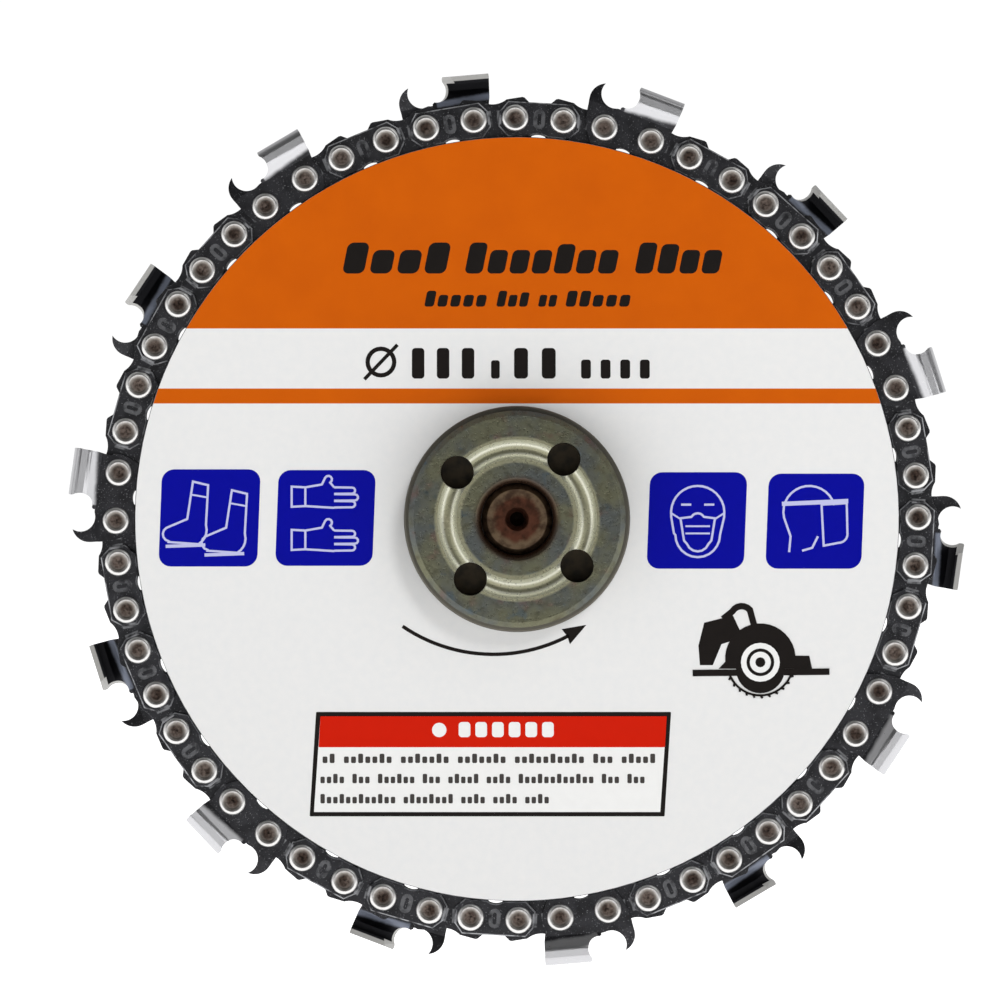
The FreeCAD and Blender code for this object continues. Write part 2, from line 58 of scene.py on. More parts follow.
# ---- Shader tools
class Shader:
    """Builds one material's node tree. Sockets are passed about as values."""

    def __init__(self, name):
        self.material = bpy.data.materials.new(name)
        self.material.use_nodes = True
        self.tree = self.material.node_tree
        self.bsdf = self.tree.nodes["Principled BSDF"]
        self.coords = self.tree.nodes.new("ShaderNodeTexCoord")

    def node(self, kind, **settings):
        made = self.tree.nodes.new(kind)
        for key, value in settings.items():
            setattr(made, key, value)
        return made

    def put(self, value, socket):
        """Links a socket's value, or sets a plain one."""
        if isinstance(value, bpy.types.NodeSocket):
            self.tree.links.new(value, socket)
        else:
            socket.default_value = value

    def math(self, operation, *values):
        made = self.node("ShaderNodeMath", operation=operation)
        for value, socket in zip(values, made.inputs):
            self.put(value, socket)
        return made.outputs[0]

    def plus(self, first, second):
        return self.math("ADD", first, second)

    def minus(self, first, second):
        return self.math("SUBTRACT", first, second)

    def times(self, first, second):
        return self.math("MULTIPLY", first, second)

    def larger(self, first, second):
        return self.math("MAXIMUM", first, second)

    def unsigned(self, value):
        return self.math("ABSOLUTE", value)

    def distance(self, across, up):
        """Length of the line to a point that is this far across and up."""
        return self.math("SQRT", self.plus(self.times(across, across), self.times(up, up)))

    def between(self, value, zero_at, one_at):
        """0 up to the first limit, 1 past the second, whichever is the larger, and smooth in between."""
        made = self.node("ShaderNodeMapRange", interpolation_type="SMOOTHSTEP")
        for number, socket in zip((value, zero_at, one_at), made.inputs):
            self.put(number, socket)
        return made.outputs[0]

    def mix(self, factor, first, second):
        """A colour between two colours."""
        made = self.node("ShaderNodeMix", data_type="RGBA")
        self.put(factor, made.inputs["Factor"])
        for value, name in ((first, "A"), (second, "B")):
            socket = next(s for s in made.inputs if s.name == name and s.type == "RGBA")
            self.put((*value, 1) if isinstance(value, tuple) else value, socket)
        return next(s for s in made.outputs if s.type == "RGBA")

    def blend(self, factor, first, second):
        """A number between two numbers."""
        made = self.node("ShaderNodeMix", data_type="FLOAT")
        self.put(factor, made.inputs[0])
        self.put(first, made.inputs[2])
        self.put(second, made.inputs[3])
        return made.outputs[0]

    def xyz(self, vector):
        made = self.node("ShaderNodeSeparateXYZ")
        self.put(vector, made.inputs[0])
        return made.outputs

    def place(self):
        return self.xyz(self.coords.outputs["Object"])

    def facing(self):
        return self.xyz(self.coords.outputs["Normal"])

    def from_axis(self):
        """Distance from the spindle's axis."""
        x, _, z = self.place()
        return self.distance(x, z)

    def turn(self):
        """Angle from the top in degrees, clockwise as the label's side shows it."""
        x, _, z = self.place()
        return self.times(self.math("ARCTAN2", x, z), 180 / math.pi)

    def noise(self, size, detail=3.0, stretch=(1, 1, 1)):
        """Noise whose features are about size metres across, drawn out along an axis by stretch."""
        mapping = self.node("ShaderNodeMapping")
        mapping.inputs["Scale"].default_value = tuple(1 / s for s in stretch)
        self.put(self.coords.outputs["Object"], mapping.inputs["Vector"])
        return self.texture(mapping.outputs[0], size, detail)

    def texture(self, vector, size, detail):
        made = self.node("ShaderNodeTexNoise")
        made.inputs["Scale"].default_value = 1 / size
        made.inputs["Detail"].default_value = detail
        self.put(vector, made.inputs["Vector"])
        return made.outputs[0]

    def patches(self, size, detail, zero_at, one_at):
        """Ragged patches about size metres across, from 0 to 1."""
        return self.between(self.noise(size, detail), zero_at, one_at)

    def wobble(self, size, reach):
        """A small length, up to half of reach either way, that makes an outline ragged."""
        return self.times(self.minus(self.noise(size, 3), 0.5), reach)

    def ring_noise(self, size, drawn_out=9000):
        """Noise in turned rings round the spindle's axis. It counts drawn_out degrees of turn as a metre."""
        joined = self.node("ShaderNodeCombineXYZ")
        self.put(self.from_axis(), joined.inputs[0])
        self.put(self.times(self.turn(), 1 / drawn_out), joined.inputs[1])
        self.put(self.place()[1], joined.inputs[2])
        return self.texture(joined.outputs[0], size, 3)

    def bump(self, height, strength, distance):
        made = self.node("ShaderNodeBump")
        made.inputs["Strength"].default_value = strength
        made.inputs["Distance"].default_value = distance
        self.put(height, made.inputs["Height"])
        self.put(made.outputs[0], self.bsdf.inputs["Normal"])

    def finish(self, colour, metallic, roughness, **more):
        self.put((*colour, 1) if isinstance(colour, tuple) else colour, self.bsdf.inputs["Base Color"])
        self.put(metallic, self.bsdf.inputs["Metallic"])
        self.put(roughness, self.bsdf.inputs["Roughness"])
        for name, value in more.items():
            self.put(value, self.bsdf.inputs[name.replace("_", " ")])
        return self.material


def linear(red, green, blue):
    """A colour from its 0-255 screen values."""
    shown = (c / 255 for c in (red, green, blue))
    return tuple(c / 12.92 if c < 0.04045 else ((c + 0.055) / 1.055) ** 2.4 for c in shown)


# ---- Places on the chain
def wrapped(shader, turn, first, step):
    """An angle measured from the nearest of the stations that start at first and come every step degrees."""
    shifted = shader.minus(turn, first - step / 2)
    return shader.minus(shader.math("FLOORED_MODULO", shifted, step), step / 2)


def on_link(shader, first, step):
    """Where a point is on the nearest of these stations' links: along the chain, and above its rivets."""
    radius = shader.from_axis()
    local = shader.times(wrapped(shader, shader.turn(), first, step), math.pi / 180)
    along = shader.times(radius, shader.math("SINE", local))
    above = shader.minus(shader.times(radius, shader.math("COSINE", local)), STRAP_LINE_R)
    return along, above


# ---- The chain's steel
BLUED = linear(51, 51, 54)
BLUED_DARK = tuple(c * 0.5 for c in BLUED)
# Pale blue for the painted reflection at the foot of a cutter's hollow
BLUED_SHEEN = linear(118, 124, 138)
# Pale steel for wear, also used as the painted highlight on the links' broken edges
PALE_WEAR_AND_HIGHLIGHT = linear(150, 151, 154)

# A strap's stamped oval, and the wear on it and on the strap's ends. A pair is where a change starts and
# where it is complete.
OVAL_HALF = 0.55 * MM  # from the oval's middle to the middle of its round end
OVAL_INSIDE = (0.22 * MM, 0.32 * MM)
OVAL_OUTSIDE = (0.86 * MM, 0.76 * MM)
OVAL_WEAR = 0.36
END_INSIDE = (STRAP_END - 0.4 * MM, STRAP_END - 0.3 * MM)
END_OUTSIDE = (STRAP_END + 0.35 * MM, STRAP_END + 0.2 * MM)
END_HALF = (1.05 * MM, 0.85 * MM)
END_WEAR = 0.8

# A cutter, measured above its rivet line and, for the tooth, along the chain from its middle.
CHROME_FROM = (2.75 * MM, 3.45 * MM)
TOOTH_FROM = (-1.45 * MM, -1.20 * MM)  # only behind the gullet
FILED_FROM = (2.6 * MM, 3.1 * MM)
# Heights of the painted reflection at the foot of a cutter's hollow
FOOT_SHEEN_FROM = (2.5 * MM, 2.9 * MM)
FOOT_SHEEN_TO = (3.8 * MM, 3.3 * MM)
SHADE_FROM = (3.4 * MM, 3.9 * MM)
TOP_SLOPE = 0.084  # the top plate falls by this much per length of chain
TOP_EDGE_FROM = (5.92 * MM, 6.02 * MM)  # the bright part of its free edge, at the middle of the link

# A chain rivet's head, measured from its own middle. Painted shade greys its dished middle, and its very
# middle is grimy brown and darkened further as painted shade.
DISH_SHADE = (1.62 * MM, 1.05 * MM)
PIT_GRIME_AND_SHADE = (1.20 * MM, 0.60 * MM)


def blued(shader):
    """Colour and roughness of the chain's blued steel: near black, cloudy, with pale specks of wear."""
    colour = shader.mix(shader.patches(2.2 * MM, 4, 0.35, 0.7), BLUED, BLUED_DARK)
    specks = shader.times(shader.patches(0.22 * MM, 2, 0.62, 0.72), 0.5)
    colour = shader.mix(specks, colour, PALE_WEAR_AND_HIGHLIGHT)
    roughness = shader.blend(shader.noise(0.9 * MM, 3), 0.24, 0.46)
    return colour, roughness


def strap_wear(shader):
    """How rubbed a strap's flat face is, round its stamped oval and at its two ends."""
    along, above = on_link(shader, FIRST_STRAP_DEG, STATION_DEG)
    along, above = shader.unsigned(along), shader.unsigned(above)
    past_middle = shader.larger(shader.minus(above, OVAL_HALF), 0.0)
    off_oval = shader.distance(along, past_middle)
    oval = shader.times(shader.between(off_oval, *OVAL_INSIDE), shader.between(off_oval, *OVAL_OUTSIDE))
    end = shader.times(shader.between(along, *END_INSIDE), shader.between(along, *END_OUTSIDE))
    end = shader.times(end, shader.between(above, *END_HALF))
    return shader.larger(shader.times(oval, OVAL_WEAR), shader.times(end, END_WEAR))


def link_steel():
    """Blued steel, rubbed bright on the straps' ends and round their stamped ovals, with its broken edges
    lightened both as wear and as a painted highlight.
    """
    shader = Shader("link_steel")
    colour, roughness = blued(shader)
    facing = shader.unsigned(shader.facing()[1])
    # The broken edges' lightening is edge wear and also a painted highlight where the bevels catch the light
    edge = shader.times(shader.between(facing, 0.25, 0.6), shader.between(facing, 0.97, 0.85))
    rubbed = shader.times(strap_wear(shader), shader.between(facing, 0.9, 0.97))
    wear_and_highlight = shader.times(shader.larger(edge, rubbed), shader.patches(1.2 * MM, 3, 0.3, 0.6))
    shader.bump(shader.noise(0.5 * MM, 3), 0.2, 0.03 * MM)
    return shader.finish(shader.mix(wear_and_highlight, colour, PALE_WEAR_AND_HIGHLIGHT), shader.blend(wear_and_highlight, 0.75, 0.45), roughness)


def cutter_zones(shader, side):
    """Where a cutter is chromed, in deep shade, pale with a painted reflection at the foot of its hollow, and
    bare from the file.
    """
    along, above = on_link(shader, FIRST_CUTTER_DEG, CUTTER_STEP_DEG)
    height = shader.plus(above, shader.wobble(1.4 * MM, 0.35 * MM))
    radius = shader.from_axis()
    x, _, z = shader.place()
    nx, ny, nz = shader.facing()
    outward = shader.math("DIVIDE", shader.plus(shader.times(nx, x), shader.times(nz, z)), radius)
    ahead = shader.math("DIVIDE", shader.minus(shader.times(nz, x), shader.times(nx, z)), radius)
    outer = shader.times(ny, side)
    tooth = shader.between(along, *TOOTH_FROM)

    shown = shader.between(shader.plus(outer, outward), 0.1, 0.3)
    chrome = shader.times(shader.times(shader.between(height, *CHROME_FROM), tooth), shown)
    filed = shader.times(shader.between(ahead, 0.2, 0.4), tooth)
    filed = shader.times(filed, shader.between(above, *FILED_FROM))

    # On the hollow side: the top plate's bare edge, which falls away along the chain, and a pale foot that is
    # a painted reflection.
    sloped = shader.plus(above, shader.times(along, TOP_SLOPE))
    inner = shader.times(shader.between(outer, -0.6, -0.85), tooth)
    brim = shader.times(inner, shader.between(sloped, *TOP_EDGE_FROM))
    hollow = shader.times(shader.between(outer, -0.3, -0.6), tooth)
    foot = shader.times(shader.between(height, *FOOT_SHEEN_FROM), shader.between(height, *FOOT_SHEEN_TO))
    shade = shader.times(shader.between(height, *SHADE_FROM), hollow)
    return chrome, shade, shader.times(foot, hollow), shader.larger(filed, brim)


def cutter_steel(name, side):
    """Blued link with a chromed outer face and bare filed edges. side is -1 on the label's side, else 1."""
    shader = Shader(name)
    colour, dark_rough = blued(shader)
    chrome, shade, foot, bare = cutter_zones(shader, side)
    streaks = shader.noise(0.35 * MM, 3)
    colour = shader.mix(chrome, colour, linear(196, 196, 198))
    colour = shader.mix(shade, colour, linear(18, 18, 22))
    # Painted reflection: the foot of the hollow is made pale
    colour = shader.mix(foot, colour, BLUED_SHEEN)
    colour = shader.mix(bare, colour, linear(164, 163, 160))
    roughness = shader.blend(chrome, dark_rough, shader.blend(streaks, 0.24, 0.36))
    roughness = shader.blend(bare, roughness, 0.42)
    metallic = shader.blend(shader.larger(bare, foot), shader.blend(chrome, 0.75, 1.0), 0.4)
    shader.bump(streaks, 0.15, 0.02 * MM)
    return shader.finish(colour, metallic, roughness)


def rivet_steel():
    """Bright peened steel. Painted shade greys each head's dished middle, and its very middle is grimy brown,
    darker on some heads than on others, and darkened further as painted shade.
    """
    shader = Shader("rivet_steel")
    local = shader.unsigned(wrapped(shader, shader.turn(), FIRST_STRAP_DEG, STATION_DEG))
    along = shader.times(shader.minus(local, RIVET_DEG), math.pi / 180 * RIVET_RING_R)
    above = shader.minus(shader.from_axis(), RIVET_RING_R)
    ragged = shader.plus(shader.distance(along, above), shader.wobble(0.5 * MM, 0.35 * MM))
    dish_shade = shader.between(ragged, *DISH_SHADE)
    dirt = shader.patches(0.4 * MM, 4, 0.35, 0.7)
    thin_grime_and_shade = shader.mix(dirt, linear(118, 105, 97), linear(70, 60, 55))
    thick_grime_and_shade = shader.mix(dirt, linear(76, 63, 56), linear(38, 32, 29))
    grime_and_shade = shader.mix(shader.patches(2.2 * MM, 2, 0.42, 0.60), thin_grime_and_shade, thick_grime_and_shade)
    # Painted shade: the dished middle is greyed, standing for the dark room it reflects
    colour = shader.mix(dish_shade, linear(222, 221, 219), linear(130, 124, 118))
    # The very middle: brown dirt, made darker as painted shade
    colour = shader.mix(shader.between(ragged, *PIT_GRIME_AND_SHADE), colour, grime_and_shade)
    bright_rough = shader.blend(shader.noise(0.5 * MM, 3), 0.26, 0.38)
    shader.bump(shader.noise(0.4 * MM, 3), 0.15, 0.03 * MM)
    return shader.finish(colour, 1.0, shader.blend(dish_shade, bright_rough, 0.46))


# ---- The disc's, the nut's and the spindle's metal
WASHER_RIM = (14.6 * MM, 15.6 * MM)
NUT_GROOVE_FROM = (7.6 * MM, 8.0 * MM)
NUT_GROOVE_TO = (11.6 * MM, 11.2 * MM)
# Where the painted shade round the nut's bore starts and where it is full
NUT_BORE_SHADE = (6.4 * MM, 5.2 * MM)
CLEAN_FROM_Y = (-4.0 * MM, -2.1 * MM)  # the spindle behind the disc
THREAD_EDGE = (3.2 * MM, 4.0 * MM)
# Where the painted shade of the spindle's centre hole ends
CENTRE_HOLE_SHADE = (1.1 * MM, 0.8 * MM)


def turned_steel(name, colour, stained, smooth, rough):
    """Lathe-turned steel with fine rings and faint stains."""
    shader = Shader(name)
    rings = shader.ring_noise(0.35 * MM)
    mixed = shader.mix(shader.patches(4 * MM, 4, 0.35, 0.75), colour, stained)
    shader.bump(rings, 0.2, 0.02 * MM)
    return shader.finish(mixed, 1.0, shader.blend(rings, smooth, rough))


def washer_steel():
    """Painted shade, near black and brownish, under the nut's spanner holes, and a ground rim made grey as
    painted shadow of the nut.
    """
    shader = Shader("washer_steel")
    ragged = shader.plus(shader.from_axis(), shader.times(shader.noise(2.0 * MM, 3), 0.8 * MM))
    # Painted shade that makes the spanner holes look deep
    hole_shade = shader.mix(shader.patches(1.5 * MM, 4, 0.35, 0.75), linear(46, 39, 28), linear(26, 23, 18))
    # The rim is ground steel made darker to stand for the nut's shadow on it
    colour = shader.mix(shader.between(ragged, *WASHER_RIM), hole_shade, linear(96, 93, 84))
    rings = shader.ring_noise(0.35 * MM)
    shader.bump(rings, 0.2, 0.02 * MM)
    return shader.finish(colour, 0.8, shader.blend(rings, 0.3, 0.5))


def ground_plate():
    """Pale plate with a fine straight grain, up and down the disc."""
    shader = Shader("plate_steel")
    grain = shader.noise(0.45 * MM, 4, stretch=(1, 1, 40))
    stain = shader.patches(14 * MM, 4, 0.4, 0.8)
    colour = shader.mix(stain, linear(148, 149, 152), linear(130, 131, 135))
    scratched = shader.times(shader.between(grain, 0.45, 0.75), 0.35)
    colour = shader.mix(scratched, colour, linear(100, 101, 105))
    shader.bump(grain, 0.3, 0.03 * MM)
    return shader.finish(colour, 1.0, shader.blend(grain, 0.26, 0.46))


def zinc_plate():
    """Yellow-green passivated zinc with blue and red tints, a pale groove with a painted highlight on its
    sloped sides, and painted brown shade round the bore.
    """
    shader = Shader("zinc_plate")
    colour = shader.mix(shader.patches(5 * MM, 4, 0.35, 0.65), linear(108, 108, 88), linear(92, 96, 94))
    for size, detail, zero_at, one_at, share, tint in (
            (3.1 * MM, 3, 0.56, 0.72, 0.5, linear(112, 82, 76)),
            (2.3 * MM, 3, 0.60, 0.72, 0.4, linear(58, 84, 104)),
            (1.1 * MM, 4, 0.45, 0.75, 0.4, linear(58, 52, 40))):
        colour = shader.mix(shader.times(shader.patches(size, detail, zero_at, one_at), share), colour, tint)
    radius = shader.from_axis()
    groove = shader.times(shader.between(radius, *NUT_GROOVE_FROM), shader.between(radius, *NUT_GROOVE_TO))
    sloped = shader.between(shader.unsigned(shader.facing()[1]), 0.99, 0.86)
    colour = shader.mix(shader.times(groove, 0.75), colour, linear(150, 148, 120))
    # Painted highlight: the groove's sloped sides are made nearly white
    colour = shader.mix(shader.times(sloped, groove), colour, linear(214, 214, 196))
    # Painted shade: brown darkening round the bore, where the spindle's recess lies in shade
    colour = shader.mix(shader.between(radius, *NUT_BORE_SHADE), colour, linear(70, 54, 42))
    fine = shader.noise(0.35 * MM, 4)
    shader.bump(shader.plus(shader.ring_noise(0.5 * MM, 6000), fine), 0.3, 0.04 * MM)
    return shader.finish(colour, shader.blend(groove, 1.0, 0.7), shader.blend(fine, 0.22, 0.36))


def spindle_steel():
    """Turned steel. Its threaded end is rust brown in the middle, and darker and olive towards its edge."""
    shader = Shader("spindle_steel")
    radius = shader.from_axis()
    ragged = shader.plus(radius, shader.times(shader.noise(1.0 * MM, 3), 0.9 * MM))
    rust = shader.patches(1.3 * MM, 4, 0.35, 0.7)
    middle = shader.mix(rust, linear(86, 52, 38), linear(52, 32, 22))
    edge = shader.mix(rust, linear(108, 90, 70), linear(66, 50, 38))
    clean = shader.mix(rust, linear(140, 139, 137), linear(126, 125, 122))
    colour = shader.mix(shader.between(ragged, *THREAD_EDGE), middle, edge)
    # Painted shade in the spindle's centre hole
    colour = shader.mix(shader.between(radius, *CENTRE_HOLE_SHADE), colour, linear(34, 25, 19))
    colour = shader.mix(shader.between(shader.place()[1], *CLEAN_FROM_Y), colour, clean)
    rings = shader.ring_noise(0.25 * MM)
    shader.bump(rings, 0.3, 0.03 * MM)
    return shader.finish(colour, 0.9, shader.blend(rings, 0.34, 0.52))


# ---- The label's film and inks
ORANGE_FROM = 26.46 * MM
STRIPE_FROM, STRIPE_TO = 16.04 * MM, 18.13 * MM
PRINT_EDGE = 0.05 * MM  # half of the width over which one printed colour changes to the next
MATT = 0.08  # the film's and the inks' specular level


def label_film():
    """Printed film: orange above, white below and an orange stripe, with faint mottling."""
    shader = Shader("label_film")
    z = shader.place()[2]
    top = shader.between(z, ORANGE_FROM - PRINT_EDGE, ORANGE_FROM + PRINT_EDGE)
    stripe = shader.times(shader.between(z, STRIPE_FROM - PRINT_EDGE, STRIPE_FROM + PRINT_EDGE),
                          shader.between(z, STRIPE_TO + PRINT_EDGE, STRIPE_TO - PRINT_EDGE))
    orange = shader.mix(shader.noise(6 * MM, 3), linear(190, 82, 0), linear(206, 94, 0))
    fine = shader.noise(1.2 * MM, 3)
    white = shader.mix(fine, linear(222, 223, 223), linear(230, 229, 227))
    colour = shader.mix(shader.larger(top, stripe), white, orange)
    shader.bump(shader.noise(2.5 * MM, 2), 0.06, 0.03 * MM)
    return shader.finish(colour, 0.0, shader.blend(fine, 0.38, 0.48), Specular_IOR_Level=MATT)


def ink(name, colour, change=0.06):
    """A printed colour that is darker in patches, by up to change."""
    shader = Shader(name)
    mottle = shader.noise(1.5 * MM, 3)
    mixed = shader.mix(mottle, colour, tuple(c * (1 - change) for c in colour))
    shader.bump(shader.noise(0.8 * MM, 2), 0.05, 0.02 * MM)
    return shader.finish(mixed, 0.0, shader.blend(mottle, 0.36, 0.46), Specular_IOR_Level=MATT)


INKS = {
    "black": ink("ink_black", linear(28, 24, 22), 0.3),
    "blue": ink("ink_blue", linear(0, 4, 150), 0.12),
    "pale": ink("ink_pale", linear(190, 192, 228)),
    "red": ink("ink_red", linear(202, 26, 0)),
    "white": ink("ink_white", linear(236, 236, 234)),
    "grey": ink("ink_grey", linear(70, 66, 64), 0.2),
}


# ---- Shapes on the label, drawn in millimetres as (X, Z)
INK_T = 0.02 * MM
LINE_RISE = 0.002 * MM  # each line on a sheet lies this much above the last, so that they can cross
MITRE_LIMIT = 0.5  # a sharp corner's mitre reaches at most half the width over this


def way(start, end):
    """Unit vector from one point to the next."""
    return Vector((end[0] - start[0], end[1] - start[1])).normalized()


def both_sides(points, half, closed):
    """The points of a line's two edges, half its width from the points along its middle."""
    count = len(points)
    sides = []
    for i, (x, z) in enumerate(points):
        ways = []
        if closed or i:
            ways.append(way(points[i - 1], points[i]))
        if closed or i < count - 1:
            ways.append(way(points[i], points[(i + 1) % count]))
        along = sum(ways, Vector((0, 0))).normalized()
        reach = half / max(along.dot(ways[0]), MITRE_LIMIT)
        dx, dz = along.y * reach, along.x * reach
        sides.append(((x - dx, z + dz), (x + dx, z - dz)))
    return sides


class Print:
    """One colour of print on the label, as one mesh. A higher layer lies on top of a lower one."""

    def __init__(self, name, colour, layer=1):
        self.name = name
        self.colour = colour
        self.face = LABEL_FACE - INK_T * layer
        self.mesh = bmesh.new()

    def polygon(self, points):
        """A flat shape one ink's thickness deep."""
        top = [self.mesh.verts.new((x * MM, self.face, z * MM)) for x, z in points]
        bottom = [self.mesh.verts.new((x * MM, self.face + INK_T, z * MM)) for x, z in points]
        self.mesh.faces.new(top)
        for i, here in enumerate(top):
            j = (i + 1) % len(top)
            self.mesh.faces.new((here, bottom[i], bottom[j], top[j]))
        return self

    def ribbon(self, points, width, closed=False):
        """A line of even width through the points."""
        self.face -= LINE_RISE
        rings = [[self.mesh.verts.new((x * MM, y, z * MM)) for x, z in pair for y in (self.face, LABEL_FACE)]
                 for pair in both_sides(points, width / 2, closed)]
        spans = zip(rings, rings[1:] + rings[:1]) if closed else zip(rings, rings[1:])
        for a, b in spans:
            for j, k in ((0, 2), (2, 3), (1, 0)):
                self.mesh.faces.new((a[j], a[k], b[k], b[j]))
        if not closed:
            for end in (rings[0], rings[-1]):
                self.mesh.faces.new((end[0], end[1], end[3], end[2]))
        return self

    def done(self):
        bmesh.ops.recalc_face_normals(self.mesh, faces=self.mesh.faces)
        data = bpy.data.meshes.new(self.name)
        self.mesh.to_mesh(data)
        self.mesh.free()
        piece = bpy.data.objects.new(self.name, data)
        bpy.context.scene.collection.objects.link(piece)
        data.materials.append(INKS[self.colour])
        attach(piece, "disc")


def arc(cx, cz, radius, start, end, steps=12):
    """Points on a circle, from one angle to another in degrees."""
    turn = [math.radians(start + (end - start) * i / steps) for i in range(steps + 1)]
    return [(cx + radius * math.cos(a), cz + radius * math.sin(a)) for a in turn]


def circle(cx, cz, radius, count=24):
    """Points all the way round a circle."""
    return arc(cx, cz, radius, 0, 360 - 360 / count, count - 1)


def rounded_box(x0, z0, x1, z1, corner, lean=0.0):
    """A rounded rectangle whose foot is moved lean to the left."""
    points = []
    for cx, cz, start in ((x1 - corner, z1 - corner, 0), (x0 + corner, z1 - corner, 90),
                          (x0 + corner, z0 + corner, 180), (x1 - corner, z0 + corner, 270)):
        points += arc(cx, cz, corner, start, start + 90, 6)
    return [(x - lean * (z1 - z) / (z1 - z0), z) for x, z in points]


# ---- Rows of plain blocks, with no letters in them
BLOCK_CORNER = 0.28  # of a block's width


def mock_word(sheet, x0, x1, z0, height, rises, weight, slant=0.0):
    """A word-shaped row of blocks. Each is rises of height tall, and weight is its share of its place."""
    pitch = (x1 - x0) / len(rises)
    width = pitch * weight
    for i, rise in enumerate(rises):
        left = x0 + i * pitch
        block = rounded_box(left, z0, left + width, z0 + height * rise, width * BLOCK_CORNER)
        sheet.polygon([(x + slant * (z - z0), z) for x, z in block])


def mock_words(sheet, words, **settings):
    """Words on one line, each given as its two ends and its blocks' heights."""
    for x0, x1, rises in words:
        mock_word(sheet, x0, x1, rises=rises, **settings)


def label_text():
    """The title, the line under it and the size row with its diameter sign."""
    title = Print("label_title_blocks", "black")
    words = ((-24.3, -9.2, (1, .76, .76, 1)), (-7.3, 14.2, (1, .76, .76, .76, .95, .76, .76)),
             (16.3, 28.6, (1, .95, .76, .76)))
    mock_words(title, words, z0=34.1, height=4.3, weight=0.80, slant=0.2)
    title.done()
    subtitle = Print("label_subtitle_blocks", "black")
    words = ((-12.9, -4.0, (1, .74, .74, .74, .74)), (-2.9, 1.8, (1, .74, .9)), (2.9, 5.7, (.74, .74)),
             (6.7, 16.0, (1, 1, .74, .74, .74)))
    mock_words(subtitle, words, z0=29.5, height=2.2, weight=0.74, slant=0.2)
    subtitle.done()
    size = Print("label_size_blocks", "black")
    words = ((-14.6, -4.2, (1, 1, 1)), (-3.6, -1.2, (.6,)), (-0.4, 7.3, (1, 1)),
             (8.9, 19.8, (.62, .62, .62, .62)))
    mock_words(size, words, z0=19.5, height=4.25, weight=0.5)
    size.ribbon(circle(-18.9, 21.8, 1.85), 0.6, closed=True)
    size.ribbon([(-21.2, 19.4), (-16.6, 24.2)], 0.5)
    size.done()


def info_panel():
    """Bordered panel with a red heading and three lines of blocks."""
    left, foot, right, top = -27.9, -41.3, 21.4, -26.8
    border, lean = 0.6, 0.9
    inside = (left + border, foot + border, right - border, top - border)
    heading_foot, heading_lean = -31.7, 0.25
    Print("panel_border", "black").polygon(rounded_box(left, foot, right, top, 0.15, lean)).done()
    Print("panel_paper", "white", 2).polygon(rounded_box(*inside, 0.1, lean)).done()
    heading = rounded_box(inside[0], heading_foot, inside[2], inside[3], 0.1, heading_lean)
    Print("panel_heading", "red", 3).polygon(heading).done()
    mark = Print("panel_heading_blocks", "white", 4)
    mark.polygon(circle(-10.8, -29.3, 1.0))
    mock_word(mark, -8.1, 5.8, -30.3, 2.1, (1, 1, 1, 1, 1, 1), weight=0.7)
    mark.done()
    panel_lines()


def panel_lines():
    """The panel's three lines, each given as its two ends, its foot and how many blocks its words have."""
    lines = Print("panel_line_blocks", "grey", 3)
    for x0, x1, z0, words in ((-27.0, 19.5, -33.9, (2, 7, 7, 7, 10, 3, 5)),
                              (-27.3, 18.0, -36.7, (4, 3, 6, 3, 5, 4, 12, 3, 3)),
                              (-27.3, 4.7, -39.5, (12, 8, 4, 4, 4))):
        pitch = (x1 - x0) / (sum(words) + len(words) - 1)
        at = x0
        for count in words:
            rises = [1.0 if (count + i) % 3 == 0 else 0.7 for i in range(count)]
            mock_word(lines, at, at + pitch * count, z0, 1.3, rises, weight=0.68)
            at += pitch * (count + 1)
    lines.done()


# ---- Pictograms. Each one's x and z are its middle.
FINE, LINE, BOLD = 0.25, 0.3, 0.45  # widths of their lines
TILE_LEAN = 0.5
TILE_CORNER = 1.7


def tile(name, x0, x1, z0, z1):
    Print(name, "blue").polygon(rounded_box(x0, z0, x1, z1, TILE_CORNER, TILE_LEAN)).done()


def boots_mark(x, z):
    """Two plain work boots, heel to heel."""
    lines = Print("mark_boots", "pale", 2)
    for cx, cz in ((x - 3.0, z + 0.6), (x + 2.4, z - 0.6)):
        heel, toe = arc(cx + 0.2, cz - 2.3, 2.3, 0, -60, 4), arc(cx - 2.6, cz - 2.9, 1.0, 260, 120, 5)
        lines.ribbon([(cx + 0.6, cz + 4.4), (cx + 2.7, cz + 3.9), (cx + 2.4, cz - 1.6), *heel,
                      (cx - 2.8, cz - 4.0), *toe, (cx - 0.2, cz - 0.8)], LINE, closed=True)
        lines.ribbon([(cx - 3.2, cz - 4.6), (cx + 2.3, cz - 4.4)], BOLD)
        lines.ribbon([(cx + 0.3, cz + 2.6), (cx + 2.6, cz + 2.2)], FINE)
    lines.done()


def gloves_mark(x, z):
    """Two plain gloves, one above the other."""
    lines = Print("mark_gloves", "pale", 2)
    for cx, cz in ((x, z + 3.0), (x, z - 3.0)):
        wrist, knuckle = cx - 2.9, cx + 1.1
        lines.ribbon([(cx - 4.8, cz + 1.3), (cx - 4.8, cz - 1.5), (wrist, cz - 1.4), (wrist, cz + 1.2)],
                     LINE, closed=True)
        thumb = arc(cx + 0.3, cz + 2.3, 0.5, 150, -60, 6)
        lines.ribbon([(wrist, cz + 1.2), (cx - 0.6, cz + 1.6), *thumb, (knuckle, cz + 1.2)], LINE)
        for finger in range(3):
            top = cz + 1.2 - finger * 0.95
            tip_x = cx + 3.6 + 0.4 * (finger == 1)  # the middle finger is the longest
            lines.ribbon([(knuckle, top), *arc(tip_x, top - 0.45, 0.42, 90, -90, 5), (knuckle, top - 0.9)],
                         LINE)
        lines.ribbon([(wrist, cz - 1.4), (knuckle, cz - 1.65)], LINE)
    lines.done()


